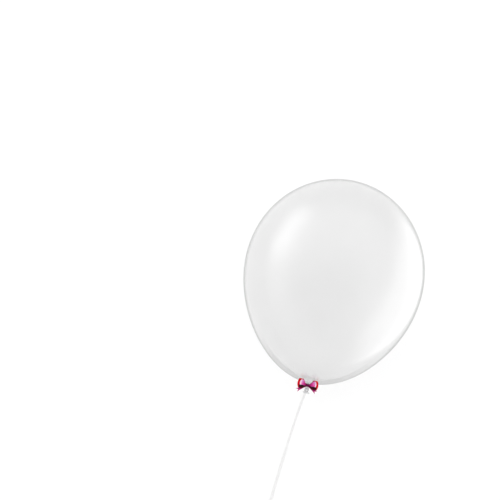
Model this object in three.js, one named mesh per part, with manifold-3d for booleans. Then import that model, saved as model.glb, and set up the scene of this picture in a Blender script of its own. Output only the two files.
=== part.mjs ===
// Giant clear latex balloon lying on its side, with a layered ribbon bow and a ribbon string at its neck.
// Millimetres, +Z up. +Y runs along the balloon from its neck to its crown. The origin is on the floor, under
// the middle of the box that holds the balloon and its bow.
import * as THREE from "three";
import { ParametricGeometry } from "three/addons/geometries/ParametricGeometry.js";
import { mergeVertices } from "three/addons/utils/BufferGeometryUtils.js";
import Module from "manifold-3d";

// Balloon body: an egg that is fuller at the crown
const BODY_RADIUS = 448.3; // gives 900 across at the widest ring
const BODY_LENGTH = 1048; // crown to the root of the neck
const CROWN_FULLNESS = 0.0926;
const END_TAPER = -0.0512;
const BODY_WIDEST = 450; // radius of the widest ring
const BODY_RINGS = 34;
const LATHE_SIDES = 48;
const SPOT_DEPTH = 6; // the flat spot on the underside
const AXIS_HEIGHT = BODY_WIDEST - SPOT_DEPTH;

// Neck, measured outwards from its root
const NECK_JOIN_ANGLE = 0.11; // how far from the end of the egg the neck begins, in radians of the egg
const NECK_RADIUS = 9;
const FILLET_END = 18;
const FILLET_PULL = 0.45; // how far the fillet follows the egg before it turns into the neck
const FILLET_DROP = 2.7;
const FILLET_STEPS = 6;
const KNOT_FROM = 39;
const KNOT_TO = 51;
const KNOT_RADIUS = 12.5;
const KNOT_STEPS = 6;
const MOUTH_WAIST = 8;
const MOUTH_RADIUS = 13.5;
const MOUTH_FLARE_END = 58;
const MOUTH_FLARE_STEPS = 3;
const MOUTH_FLOOR = 53;
const MOUTH_FLOOR_RADIUS = 6;
const LIP_BEAD = 2;
const LIP_STEPS = 6;

// Bow: two flattened rings of ribbon, the narrow one on the wide one, pinched together by a tie
const BOW_AT = 28;
const RIBBON_THICKNESS = 1.2;
const LAYER_STEP = 2;
const WAIST_HALF_WIDTH = 9;
const WAIST_DEPTH = 0.9;
const WAIST_BOTTOM = 12.2; // height of the bow's underside over the middle of the neck
const SPREAD_FROM = 8;
const SPREAD_TO = 34;
const RED_HALF_LENGTH = 52;
const RED_HALF_WIDTH = 26;
const RED_DEPTH = 5.5;
const RED_RISE = 6;
const MAGENTA_HALF_LENGTH = 43;
const MAGENTA_HALF_WIDTH = 15;
const MAGENTA_DEPTH = 7.5;
const MAGENTA_SHIFT = -1; // the front leaf sits lower than the back leaf
const END_BARREL = 0.12; // the corners of a loop draw in
const BOW_TURN = 0.07; // the bow sits a little askew on the neck, in radians
const LOOP_STEPS = 64;
const LOOP_ACROSS = 4;

// Tie ribbon: a band over the bow's waist, a band round the neck and two forked tails
const TIE_THICKNESS = 1.4;
const TIE_GAP = 0.4;
const TIE_WIDTH = 14;
const TIE_CHAMFER = 3;
const RING_SIDES = 28;
const NECK_BAND_WIDTH = 10;
const TAIL_START_HALF_WIDTH = 6;
const TAIL_END_HALF_WIDTH = 9.5;
const TAIL_LENGTH = 54;
const TAIL_FORK = 8;
const TAIL_SLOPE = 0.6; // radians below the bow's long line
const TAIL_THICKNESS = 1.2;
const TAIL_BOTTOM = 10.7;

// Ribbon string: tied round the neck, down to the floor and along it to a knot near its end
const STRING_AT = 36;
const STRING_WIDTH = 12;
const STRING_THICKNESS = 1.2;
const STRING_CORNER = 0.3;
const STRING_LOOP_WIDTH = 4.4;
const STRING_LOOP_RADIUS = 10.3;
const STRING_STEPS = 44;
const STRING_KNOT_RADIUS = 7;
const STRING_KNOT_SIDES = 12;
const STRING_KNOT_FROM_END = 20;
const STRING_SIDE_DRIFT = -0.052; // sideways for each millimetre outwards
// Route of its middle line: outwards from where it is tied, and height over the floor
const STRING_ROUTE = [
  [0, 434.5], [2, 418], [7, 388], [15, 346], [27, 300], [43, 252], [63, 204], [88, 156], [118, 110],
  [153, 70], [190, 39], [228, 18], [266, 6], [304, 1.8], [345, 1], [390, 0.9], [435, 0.9], [480, 0.9],
  [525, 0.9], [565, 0.9], [600, 0.9],
];

const NECK_ROOT = -BODY_LENGTH / 2;
const wasm = await Module();
wasm.setup();

function solidFrom(geometry) {
  const bare = geometry.clone();
  bare.deleteAttribute("normal");
  bare.deleteAttribute("uv");
  const merged = mergeVertices(bare, 1e-3);
  const vertProperties = new Float32Array(merged.attributes.position.array);
  const triVerts = new Uint32Array(merged.index.array);
  return new wasm.Manifold(new wasm.Mesh({ numProp: 3, vertProperties, triVerts }));
}

function geometryFrom(solid) {
  const mesh = solid.getMesh();
  const geometry = new THREE.BufferGeometry();
  geometry.setAttribute("position", new THREE.BufferAttribute(new Float32Array(mesh.vertProperties), 3));
  geometry.setIndex(new THREE.BufferAttribute(new Uint32Array(mesh.triVerts), 1));
  geometry.computeVertexNormals();
  return geometry;
}

function joined(...geometries) {
  return geometries.map(solidFrom).reduce((whole, piece) => whole.add(piece));
}

function named(name, geometry, color, roughness, opacity = 1) {
  const material = new THREE.MeshStandardMaterial({ color, roughness, metalness: 0 });
  material.opacity = opacity;
  material.transparent = opacity < 1;
  const mesh = new THREE.Mesh(geometry, material);
  mesh.name = name;
  return mesh;
}

// Balloon
function bodyPoint(angle) {
  const along = Math.cos(angle);
  const fullness = 1 + CROWN_FULLNESS * along + END_TAPER * along * along;
  return new THREE.Vector2(BODY_RADIUS * Math.sin(angle) * fullness, BODY_LENGTH / 2 * along);
}

function neckPoint(radius, outwards) {
  return new THREE.Vector2(radius, NECK_ROOT - outwards);
}

function balloonProfile() {
  const points = [];
  const lastAngle = Math.PI - NECK_JOIN_ANGLE;
  for (let ring = 0; ring <= BODY_RINGS; ring += 1) {
    points.push(bodyPoint(lastAngle * ring / BODY_RINGS));
  }
  points[0].x = 0;
  const join = points[points.length - 1];
  const fillet = new THREE.CubicBezierCurve(
    join,
    neckPoint(join.x * FILLET_PULL, 0),
    neckPoint(NECK_RADIUS, FILLET_DROP),
    neckPoint(NECK_RADIUS, FILLET_END),
  );
  points.push(...fillet.getPoints(FILLET_STEPS).slice(1));
  for (let step = 0; step <= KNOT_STEPS; step += 1) {
    const share = step / KNOT_STEPS;
    const waist = THREE.MathUtils.lerp(NECK_RADIUS, MOUTH_WAIST, share);
    const swell = (KNOT_RADIUS - waist) * Math.sin(Math.PI * share);
    points.push(neckPoint(waist + swell, THREE.MathUtils.lerp(KNOT_FROM, KNOT_TO, share)));
  }
  const flare = new THREE.QuadraticBezierCurve(
    neckPoint(MOUTH_WAIST, KNOT_TO),
    neckPoint(MOUTH_WAIST, (KNOT_TO + MOUTH_FLARE_END) / 2),
    neckPoint(MOUTH_RADIUS, MOUTH_FLARE_END - LIP_BEAD),
  );
  points.push(...flare.getPoints(MOUTH_FLARE_STEPS).slice(1));
  const bead = new THREE.EllipseCurve(MOUTH_RADIUS, NECK_ROOT - MOUTH_FLARE_END, LIP_BEAD, LIP_BEAD,
    Math.PI / 4, -Math.PI, true);
  points.push(...bead.getPoints(LIP_STEPS));
  points.push(neckPoint(MOUTH_FLOOR_RADIUS, MOUTH_FLOOR + 1));
  points.push(neckPoint(0, MOUTH_FLOOR));
  return points;
}

function balloon() {
  const skin = new THREE.LatheGeometry(balloonProfile().reverse(), LATHE_SIDES);
  skin.translate(0, 0, AXIS_HEIGHT);
  const underFloor = new THREE.BoxGeometry(BODY_RADIUS, BODY_RADIUS, BODY_RADIUS);
  underFloor.translate(0, 0, -BODY_RADIUS / 2);
  const geometry = geometryFrom(solidFrom(skin).subtract(solidFrom(underFloor)));
  return named("balloon", geometry, "#e4e7ea", 0.12, 0.3);
}

// Bow
function spread(along) {
  return THREE.MathUtils.smoothstep(Math.abs(along), SPREAD_FROM, SPREAD_TO);
}

function roundEnd(along, halfLength, radius) {
  const past = Math.max(0, Math.abs(along) - (halfLength - radius)) / radius;
  return Math.sqrt(Math.max(0, 1 - past * past));
}

function loopDepth(along, depth) {
  return THREE.MathUtils.lerp(WAIST_DEPTH, depth, spread(along));
}

function redLeaf(along, side) {
  const middle = WAIST_BOTTOM + RIBBON_THICKNESS / 2 + WAIST_DEPTH + RED_RISE * spread(along);
  return middle + side * loopDepth(along, RED_DEPTH) * roundEnd(along, RED_HALF_LENGTH, RED_DEPTH);
}

function magentaLeaf(along, side) {
  const back = redLeaf(along, 1) + LAYER_STEP;
  const rise = roundEnd(along, MAGENTA_HALF_LENGTH, MAGENTA_DEPTH) * loopDepth(along, MAGENTA_DEPTH);
  return back + (1 + side) * rise;
}

function pinchedRing(leaf, halfLength, halfWidth, shift) {
  const sectionSteps = 2 * (LOOP_ACROSS + 1);
  const middleLine = (turn) => {
    const along = halfLength * Math.cos(turn);
    const side = Math.sin(turn) < 0 ? -1 : 1;
    return new THREE.Vector2(along, leaf(along, side));
  };
  const pointAt = (round, section, target) => {
    const turn = -2 * Math.PI * (round % 1);
    const stop = Math.round(section * sectionSteps) % sectionSteps;
    const outer = stop <= LOOP_ACROSS;
    const across = outer ? stop / LOOP_ACROSS : (sectionSteps - 1 - stop) / LOOP_ACROSS;
    const share = 2 * across - 1;
    const here = middleLine(turn);
    const nudge = 0.02;
    const tangent = middleLine(turn + nudge).sub(middleLine(turn - nudge)).normalize();
    const offset = (outer ? 0.5 : -0.5) * RIBBON_THICKNESS;
    const along = here.x + tangent.y * offset;
    const height = here.y - tangent.x * offset;
    const width = THREE.MathUtils.lerp(WAIST_HALF_WIDTH, halfWidth, spread(here.x));
    const lift = shift * Math.sin(turn) * spread(here.x);
    target.set(along * (1 - END_BARREL * share * share * spread(here.x)), width * share + lift, height);
  };
  return new ParametricGeometry(pointAt, LOOP_STEPS, sectionSteps).rotateZ(BOW_TURN);
}

function placedOnNeck(mesh, outwards) {
  mesh.position.set(0, NECK_ROOT - outwards, AXIS_HEIGHT);
  return mesh;
}

function redRibbon() {
  const ring = pinchedRing(redLeaf, RED_HALF_LENGTH, RED_HALF_WIDTH, 0);
  return placedOnNeck(named("bow_red_ribbon", geometryFrom(solidFrom(ring)), "#c01c2c", 0.45), BOW_AT);
}

function magentaRibbon() {
  const ring = pinchedRing(magentaLeaf, MAGENTA_HALF_LENGTH, MAGENTA_HALF_WIDTH, MAGENTA_SHIFT);
  return placedOnNeck(named("bow_magenta_ribbon", geometryFrom(solidFrom(ring)), "#c83888", 0.4), BOW_AT);
}

// Tie ribbon
function waistBand() {
  const halfWidth = WAIST_HALF_WIDTH + TIE_GAP;
  const low = WAIST_BOTTOM - TIE_GAP;
  const high = magentaLeaf(0, 1) + RIBBON_THICKNESS / 2 + TIE_GAP;
  const outerHalfWidth = halfWidth + TIE_THICKNESS;
  const outerHigh = high + TIE_THICKNESS;
  const outside = new THREE.Shape([
    new THREE.Vector2(-outerHalfWidth, low - TIE_THICKNESS),
    new THREE.Vector2(outerHalfWidth, low - TIE_THICKNESS),
    new THREE.Vector2(outerHalfWidth, outerHigh - TIE_CHAMFER / 2),
    new THREE.Vector2(outerHalfWidth - TIE_CHAMFER, outerHigh),
    new THREE.Vector2(TIE_CHAMFER - outerHalfWidth, outerHigh),
    new THREE.Vector2(-outerHalfWidth, outerHigh - TIE_CHAMFER / 2),
  ]);
  outside.holes.push(new THREE.Path([
    new THREE.Vector2(-halfWidth, low),
    new THREE.Vector2(-halfWidth, high),
    new THREE.Vector2(halfWidth, high),
    new THREE.Vector2(halfWidth, low),
  ]));
  const band = new THREE.ExtrudeGeometry(outside, { depth: TIE_WIDTH, bevelEnabled: false });
  band.translate(0, 0, -TIE_WIDTH / 2);
  const turned = new THREE.Matrix4().makeBasis(
    new THREE.Vector3(0, 1, 0),
    new THREE.Vector3(0, 0, 1),
    new THREE.Vector3(1, 0, 0),
  );
  return band.applyMatrix4(turned).rotateZ(BOW_TURN);
}

function neckRing(inside, outside, width) {
  const corners = [[inside, -1], [outside, -1], [outside, 1], [inside, 1], [inside, -1]];
  const profile = corners.map(([radius, end]) => new THREE.Vector2(radius, end * width / 2));
  return new THREE.LatheGeometry(profile, RING_SIDES);
}

function tail(side) {
  const outline = new THREE.Shape([
    new THREE.Vector2(0, -TAIL_START_HALF_WIDTH),
    new THREE.Vector2(TAIL_LENGTH, -TAIL_END_HALF_WIDTH),
    new THREE.Vector2(TAIL_LENGTH - TAIL_FORK, 0),
    new THREE.Vector2(TAIL_LENGTH, TAIL_END_HALF_WIDTH),
    new THREE.Vector2(0, TAIL_START_HALF_WIDTH),
  ]);
  const strip = new THREE.ExtrudeGeometry(outline, { depth: TAIL_THICKNESS, bevelEnabled: false });
  const heading = side > 0 ? -TAIL_SLOPE : Math.PI + TAIL_SLOPE;
  return strip.rotateZ(heading + BOW_TURN).translate(0, 0, TAIL_BOTTOM);
}

function tieRibbon() {
  const neckBand = neckRing(NECK_RADIUS + TIE_GAP, NECK_RADIUS + TIE_GAP + TIE_THICKNESS, NECK_BAND_WIDTH);
  const solid = joined(waistBand(), neckBand, tail(1), tail(-1));
  return placedOnNeck(named("bow_tie_ribbon", geometryFrom(solid), "#b83480", 0.42), BOW_AT);
}

// Ribbon string
function stringRoute() {
  const start = NECK_ROOT - STRING_AT;
  const points = STRING_ROUTE.map(([outwards, height]) => (
    new THREE.Vector3(STRING_SIDE_DRIFT * outwards, start - outwards, height)));
  return new THREE.CatmullRomCurve3(points);
}

function stringRibbon() {
  const halfWidth = STRING_WIDTH / 2;
  const halfThickness = STRING_THICKNESS / 2;
  const corners = [
    [halfWidth, halfThickness - STRING_CORNER], [halfWidth - STRING_CORNER, halfThickness],
    [STRING_CORNER - halfWidth, halfThickness], [-halfWidth, halfThickness - STRING_CORNER],
    [-halfWidth, STRING_CORNER - halfThickness], [STRING_CORNER - halfWidth, -halfThickness],
    [halfWidth - STRING_CORNER, -halfThickness], [halfWidth, STRING_CORNER - halfThickness],
  ];
  const section = new THREE.Shape(corners.map(([x, y]) => new THREE.Vector2(x, y)));
  const route = stringRoute();
  const run = new THREE.ExtrudeGeometry(section, { steps: STRING_STEPS, extrudePath: route });
  const loop = neckRing(NECK_RADIUS + TIE_GAP, STRING_LOOP_RADIUS, STRING_LOOP_WIDTH);
  loop.translate(0, NECK_ROOT - STRING_AT, AXIS_HEIGHT);
  const knotPlace = route.getPointAt(1 - STRING_KNOT_FROM_END / route.getLength());
  const knot = new THREE.SphereGeometry(STRING_KNOT_RADIUS, STRING_KNOT_SIDES, STRING_KNOT_SIDES / 2);
  knot.translate(knotPlace.x, knotPlace.y, STRING_KNOT_RADIUS);
  return named("ribbon_string", geometryFrom(joined(run, loop, knot)), "#eef0f0", 0.5);
}

const balloonAndBow = new THREE.Group();
balloonAndBow.add(balloon(), redRibbon(), magentaRibbon(), tieRibbon());
const middle = new THREE.Box3().setFromObject(balloonAndBow, true).getCenter(new THREE.Vector3());

const part = new THREE.Group();
part.add(balloonAndBow, stringRibbon());
part.position.y = -middle.y;

export default part;
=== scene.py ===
"""Giant clear latex balloon lying on its side, with a ribbon bow and a ribbon string at its neck."""
import math

import bpy
import numpy as np
from mathutils import Matrix, Vector


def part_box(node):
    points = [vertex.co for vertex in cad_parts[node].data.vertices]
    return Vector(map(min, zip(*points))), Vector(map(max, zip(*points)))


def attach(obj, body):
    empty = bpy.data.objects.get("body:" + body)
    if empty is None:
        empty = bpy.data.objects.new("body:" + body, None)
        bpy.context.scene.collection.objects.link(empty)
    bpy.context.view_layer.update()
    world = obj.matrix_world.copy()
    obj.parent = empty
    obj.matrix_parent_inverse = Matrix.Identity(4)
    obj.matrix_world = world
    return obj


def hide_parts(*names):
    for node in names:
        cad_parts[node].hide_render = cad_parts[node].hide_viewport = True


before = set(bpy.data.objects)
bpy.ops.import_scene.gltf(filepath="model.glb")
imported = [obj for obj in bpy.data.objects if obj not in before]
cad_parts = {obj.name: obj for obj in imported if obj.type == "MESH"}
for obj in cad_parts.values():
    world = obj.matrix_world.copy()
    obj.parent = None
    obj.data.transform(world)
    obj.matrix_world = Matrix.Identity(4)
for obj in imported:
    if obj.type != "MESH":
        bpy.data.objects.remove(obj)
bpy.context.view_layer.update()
MM = 0.001

# Balloon body: an egg that is fuller at the crown, lying on its side along Y
BODY_RADIUS = 448.3 * MM
BODY_LENGTH = 1048 * MM
CROWN_FULLNESS = 0.0926
END_TAPER = -0.0512
AXIS_HEIGHT = 444 * MM
CROWN_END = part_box("balloon")[1].y
BODY_MIDDLE = CROWN_END - BODY_LENGTH / 2
NECK_ROOT = CROWN_END - BODY_LENGTH
SPOT_SOFTNESS = 3 * MM

# Neck, knot and mouth, measured outwards from the neck's root
NECK_JOIN_ANGLE = 0.11
NECK_RADIUS = 9 * MM
FILLET_PULL = 0.45
FILLET_DROP = 2.7 * MM
NECK_TUBE_FROM = 7 * MM
FILLET_END = 18 * MM
KNOT_FROM = 39 * MM
KNOT_TO = 51 * MM
KNOT_RADIUS = 12.5 * MM
MOUTH_WAIST = 8 * MM
MOUTH_RADIUS = 13.5 * MM
MOUTH_FLARE_END = 58 * MM
MOUTH_FLOOR = 51.5 * MM
LIP_BEAD = 2 * MM

# Bow: a wide red ring of ribbon, and a narrower magenta one on it, both pinched at the waist
BOW_AT = 25 * MM
BOW_SIDE = -1.2 * MM
BOW_TURN = 0.07
RIBBON_THICKNESS = 0.9 * MM
RIBBON_ROOM = 0.6 * MM
LAYER_STEP = 2 * MM
WAIST_HALF_WIDTH = 5.5 * MM
WAIST_DEPTH = 0.9 * MM
WAIST_BOTTOM = 12.2 * MM
SPREAD_FROM = 4 * MM
SPREAD_TO = 32 * MM
LOOP_LIFT = 3 * MM
RED_HALF_LENGTH = 51.5 * MM
RED_HALF_WIDTH = 22.5 * MM
RED_DEPTH = 5.5 * MM
RED_RISE = 10 * MM
MAGENTA_HALF_LENGTH = 40.5 * MM
MAGENTA_HALF_WIDTH = 15 * MM
MAGENTA_DEPTH = 7.5 * MM
MAGENTA_SHIFT = -3 * MM
END_BARREL = 0.12

# Tie ribbon: a band round the waist, a band round the neck and two forked tails
TIE_GAP = 0.4 * MM
TIE_THICKNESS = 1.0 * MM
TIE_WIDTH = 11 * MM
NECK_BAND_WIDTH = 10 * MM
TAIL_START_HALF_WIDTH = 2.5 * MM
TAIL_END_HALF_WIDTH = 8.5 * MM
RIGHT_TAIL_LENGTH = 54 * MM
LEFT_TAIL_LENGTH = 58 * MM
TAIL_FORK = 9 * MM
TAIL_SLOPE = 0.55
TAIL_HEIGHT = 11.3 * MM

# Ribbon string: it hangs from its tie on the neck to the floor, runs on there and ends in a knot
STRING_AT = 36 * MM
STRING_WIDTH = 12 * MM
STRING_THICKNESS = 1.0 * MM
STRING_SIDE_DRIFT = -0.052
STRING_KNOT_FROM_END = 20 * MM
STRING_CUP = 2.6 * MM
SECTION_POINTS = 36
SECTION_ROUNDNESS = 0.5
GATHERED_SHARE = 0.4
GATHER_REACH = 17 * MM
ROUTE_STEP = 4 * MM

# How far outwards from its tie, and how high over the floor, the string passes, in millimetres
STRING_ROUTE = [
    (0, 434.5), (2, 418), (7, 388), (15, 346), (27, 300), (43, 252), (63, 204), (88, 156), (118, 110),
    (153, 70), (190, 39), (228, 18), (266, 6), (304, 1.8), (345, 1), (390, 0.9), (435, 0.9), (480, 0.9),
    (525, 0.9), (565, 0.9), (600, 0.9),
]

# Knots of the string, and its turns round the neck; a strand's sizes are shares of its knot's size
STRING_KNOT_POINTS = 96
STRING_KNOT_RISE = 1.1
STRAND_WIDTH = 0.75
STRAND_THICKNESS = 0.5
END_KNOT_SIZE = 4.6 * MM
END_KNOT_HEIGHT = 3.3 * MM
TIE_KNOT_SIZE = 3.3 * MM
TIE_KNOT_DROP = 12.8 * MM
WRAPS_AT = (33.2 * MM, 36.2 * MM)
WRAP_WIDTH = 2.5 * MM
WRAP_THICKNESS = 0.9 * MM
WRAP_RADIUS = 10 * MM

# Camera: it looks down on the lying balloon from its neck side
PHOTO_SIDE = 500
BALLOON_PIXEL = (332.1, 282.1)
METRES_PER_PIXEL = 0.00499
CAMERA_ELEVATION = math.radians(72)
CAMERA_ROLL = math.radians(14.2)
CAMERA_DISTANCE = 9.0
SENSOR_WIDTH = 36


def make_camera():
    """A far camera, turned so that the neck points down and a little left in its picture."""
    back = Vector((0, -math.cos(CAMERA_ELEVATION), math.sin(CAMERA_ELEVATION)))
    level_right = Vector((1, 0, 0))
    level_up = back.cross(level_right)
    right = level_right * math.cos(CAMERA_ROLL) + level_up * math.sin(CAMERA_ROLL)
    up = back.cross(right)
    across = (PHOTO_SIDE / 2 - BALLOON_PIXEL[0]) * METRES_PER_PIXEL
    above = (BALLOON_PIXEL[1] - PHOTO_SIDE / 2) * METRES_PER_PIXEL
    aim = Vector((0, BODY_MIDDLE, AXIS_HEIGHT)) + right * across + up * above
    data = bpy.data.cameras.new("camera")
    data.sensor_width = SENSOR_WIDTH
    data.lens = SENSOR_WIDTH * CAMERA_DISTANCE / (PHOTO_SIDE * METRES_PER_PIXEL)
    camera = bpy.data.objects.new("camera", data)
    bpy.context.scene.collection.objects.link(camera)
    turn = Matrix((right, up, back)).transposed()
    camera.matrix_world = Matrix.Translation(aim + back * CAMERA_DISTANCE) @ turn.to_4x4()
    bpy.context.scene.camera = camera


make_camera()


# Helpers for meshes and nodes
def smoothstep(low, high, value):
    share = np.clip((value - low) / (high - low), 0, 1)
    return share * share * (3 - 2 * share)


def mix(low, high, share):
    return low + (high - low) * share


def mesh_piece(name, points, faces=(), edges=()):
    mesh = bpy.data.meshes.new(name)
    mesh.from_pydata([tuple(point) for point in points], edges, faces)
    mesh.update()
    piece = bpy.data.objects.new(name, mesh)
    bpy.context.scene.collection.objects.link(piece)
    return piece


def add_point_values(piece, name, values):
    attribute = piece.data.attributes.new(name, "FLOAT", "POINT")
    attribute.data.foreach_set("value", [float(value) for value in values])


def add_node(tree, kind, inputs=None, **settings):
    """A new node; each of its inputs is a plain value or another node's output."""
    node = tree.nodes.new(kind)
    for name, value in settings.items():
        setattr(node, name, value)
    for socket, value in (inputs or {}).items():
        if isinstance(value, bpy.types.NodeSocket):
            tree.links.new(value, node.inputs[socket])
        else:
            node.inputs[socket].default_value = value
    return node


def calc(tree, operation, first, second=0.0, third=0.0):
    inputs = {0: first, 1: second, 2: third}
    return add_node(tree, "ShaderNodeMath", inputs, operation=operation).outputs[0]


def ramp(tree, value, low, high, to_low=0.0, to_high=1.0):
    """A smooth step from to_low, at low, to to_high, at high."""
    inputs = {"Value": value, "From Min": low, "From Max": high, "To Min": to_low, "To Max": to_high}
    return add_node(tree, "ShaderNodeMapRange", inputs, interpolation_type="SMOOTHSTEP").outputs["Result"]


def geometry_tree(name, sizes):
    """A new tree of geometry nodes with named inputs: the tree, and its input node."""
    tree = bpy.data.node_groups.new(name, "GeometryNodeTree")
    kinds = {"Geometry": "NodeSocketGeometry", **sizes}
    for socket, kind in kinds.items():
        tree.interface.new_socket(socket, in_out="INPUT", socket_type=kind)
    tree.interface.new_socket("Geometry", in_out="OUTPUT", socket_type="NodeSocketGeometry")
    return tree, tree.nodes.new("NodeGroupInput")


def stored_value(tree, name):
    """The guide's own values of that name, in a tree of geometry nodes."""
    return add_node(tree, "GeometryNodeInputNamedAttribute", {"Name": name}, data_type="FLOAT").outputs[0]


def end_tree(tree, geometry, material, selection=True):
    """The tree's last steps: real geometry, and a material on what is selected of it."""
    real = add_node(tree, "GeometryNodeRealizeInstances", {"Geometry": geometry})
    painted = add_node(tree, "GeometryNodeSetMaterial", {
        "Geometry": real.outputs[0], "Selection": selection, "Material": material})
    add_node(tree, "NodeGroupOutput", {"Geometry": painted.outputs[0]})


def grow(piece, tree, values):
    """Turns a guide into the plain mesh that the tree makes of it."""
    modifier = piece.modifiers.new(tree.name, "NODES")
    modifier.node_group = tree
    for item in tree.interface.items_tree:
        if item.in_out == "INPUT" and item.name in values:
            modifier[item.identifier] = values[item.name]
    depsgraph = bpy.context.evaluated_depsgraph_get()
    mesh = bpy.data.meshes.new_from_object(piece.evaluated_get(depsgraph), depsgraph=depsgraph)
    piece.modifiers.remove(modifier)
    guide = piece.data
    piece.data = mesh
    bpy.data.meshes.remove(guide)
    mesh.name = piece.name
    return piece


def finish_piece(piece, slot, *nodes):
    """Fixes a piece to the part, and hides the solids that it takes the place of; slot is not used."""
    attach(piece, "root")
    if nodes:
        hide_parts(*nodes)


# Materials; most of a noise pattern lies between these two values
NOISE_LOW = 0.3
NOISE_HIGH = 0.7


def grey(value):
    return (value, value, value, 1)


def new_material(name):
    material = bpy.data.materials.new(name)
    material.use_nodes = True
    tree = material.node_tree
    return material, tree, tree.nodes["Principled BSDF"]


def set_inputs(shader, **values):
    for name, value in values.items():
        shader.inputs[name.replace("_", " ")].default_value = value


def colour_mix(tree, share, first, second):
    inputs = {0: share, 6: first, 7: second}
    return add_node(tree, "ShaderNodeMix", inputs, data_type="RGBA").outputs[2]


def object_place(tree):
    return add_node(tree, "ShaderNodeTexCoord").outputs["Object"]


def noise(tree, place, scale, detail):
    inputs = {"Vector": place, "Scale": scale, "Detail": detail}
    return add_node(tree, "ShaderNodeTexNoise", inputs).outputs["Fac"]


# Clear film: its clarity and gloss are shares, and a rim lies between two cosines of the viewing angle
WALL_CLARITY = 0.87
LEAST_COSINE = 0.62
CLOUD_SCALE = 4.0
CLOUD_DETAIL = 3.0
CLOUD_CHANGE = 0.05
RIM_FROM = 0.29
RIM_TO = 0.12
RIM_CLARITY = 0.8
RIM_GLOSS = 0.04
NECK_THICKENING = 0.5
NECK_THICKENING_REACH = 60 * MM
NECK_RIM_CLARITY = 0.885
NECK_RIM_GLOSS = 0.1
NECK_RIM_REACH = 200 * MM
NECK_RIM_FULL = 50 * MM
NECK_RIM_FROM = 0.4
NECK_RIM_TO = 0.35
SHADOW_TINT = 0.93


def film_material():
    """Clear latex: thin, so it doesn't bend light, greyer where it is seen edge on and near the neck."""
    material, tree, shader = new_material("clear_latex_film")
    set_inputs(shader, Transmission_Weight=1.0, IOR=1.0, Roughness=0.0, Coat_Roughness=0.26, Coat_IOR=1.7)
    place = object_place(tree)
    along = add_node(tree, "ShaderNodeSeparateXYZ", {0: place}).outputs["Y"]
    near_neck = ramp(tree, along, NECK_ROOT + NECK_THICKENING_REACH, NECK_ROOT, 1.0, 1.0 + NECK_THICKENING)
    cloud = noise(tree, place, CLOUD_SCALE, CLOUD_DETAIL)
    uneven = ramp(tree, cloud, NOISE_LOW, NOISE_HIGH, 1.0 - CLOUD_CHANGE, 1.0 + CLOUD_CHANGE)
    thickness = calc(tree, "MULTIPLY", near_neck, uneven)
    edge_on = add_node(tree, "ShaderNodeLayerWeight", {"Blend": 0.5}).outputs["Facing"]
    cosine = calc(tree, "SUBTRACT", 1.0, edge_on)
    path = calc(tree, "DIVIDE", thickness, calc(tree, "MAXIMUM", cosine, LEAST_COSINE))

    def rim_share(at_rim, at_neck_rim):
        """A share that is 1, but at_rim where the film is seen edge on, and at_neck_rim on a wider band
        near the neck."""
        rim = ramp(tree, cosine, RIM_TO, RIM_FROM, at_rim, 1.0)
        reached = ramp(tree, along, NECK_ROOT + NECK_RIM_REACH, NECK_ROOT + NECK_RIM_FULL, 1.0, at_neck_rim)
        return calc(tree, "MINIMUM", rim, ramp(tree, cosine, NECK_RIM_TO, NECK_RIM_FROM, reached, 1.0))

    clear_share = rim_share(RIM_CLARITY, NECK_RIM_CLARITY)
    clarity = calc(tree, "MULTIPLY", calc(tree, "POWER", WALL_CLARITY, path), clear_share)
    tree.links.new(clarity, shader.inputs["Base Color"])
    tree.links.new(rim_share(RIM_GLOSS, NECK_RIM_GLOSS), shader.inputs["Coat Weight"])
    clear = add_node(tree, "ShaderNodeBsdfTransparent", {"Color": grey(SHADOW_TINT)})
    shadow = add_node(tree, "ShaderNodeLightPath").outputs["Is Shadow Ray"]
    blend = add_node(tree, "ShaderNodeMixShader", {0: shadow, 1: shader.outputs[0], 2: clear.outputs[0]})
    tree.links.new(blend.outputs[0], tree.nodes["Material Output"].inputs["Surface"])
    return material


# Gathered latex: its colours, its wrinkles and its roughness between them
MILK_GREY = (0.70, 0.71, 0.72, 1)
MILK_WHITE = grey(0.84)
WRINKLE_STRETCH = (1, 0.25, 1)
WRINKLE_SCALE = 260.0
WRINKLE_DETAIL = 1.0
WRINKLE_LOW = 0.2
WRINKLE_HIGH = 0.8
GATHERED_SMOOTH = 0.22
GATHERED_ROUGH = 0.34


def gathered_latex_material():
    """The same latex where it is gathered into the neck, knot and lip: milky, wrinkled and less clear."""
    material, tree, shader = new_material("gathered_latex")
    set_inputs(shader, Transmission_Weight=0.35, IOR=1.2, Coat_Weight=0.6, Coat_Roughness=0.15)
    mapping = {"Vector": object_place(tree), "Scale": WRINKLE_STRETCH}
    stretched = add_node(tree, "ShaderNodeMapping", mapping).outputs[0]
    wrinkles = noise(tree, stretched, WRINKLE_SCALE, WRINKLE_DETAIL)
    tree.links.new(colour_mix(tree, wrinkles, MILK_GREY, MILK_WHITE), shader.inputs["Base Color"])
    rough = ramp(tree, wrinkles, WRINKLE_LOW, WRINKLE_HIGH, GATHERED_SMOOTH, GATHERED_ROUGH)
    tree.links.new(rough, shader.inputs["Roughness"])
    bump = add_node(tree, "ShaderNodeBump", {"Strength": 0.1, "Distance": 0.2 * MM, "Height": wrinkles})
    tree.links.new(bump.outputs[0], shader.inputs["Normal"])
    return material


# Ribbon satin: its streaks are counted per metre, along and across the ribbon
THREAD = 0.4 * MM
STREAKS = (60, 1600, 1)
STREAK_DETAIL = 2.0
STREAK_DARK = 0.92
STREAK_LIGHT = 1.06
STREAK_SMOOTHER = 0.05
STREAK_ROUGHER = 0.08


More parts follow.
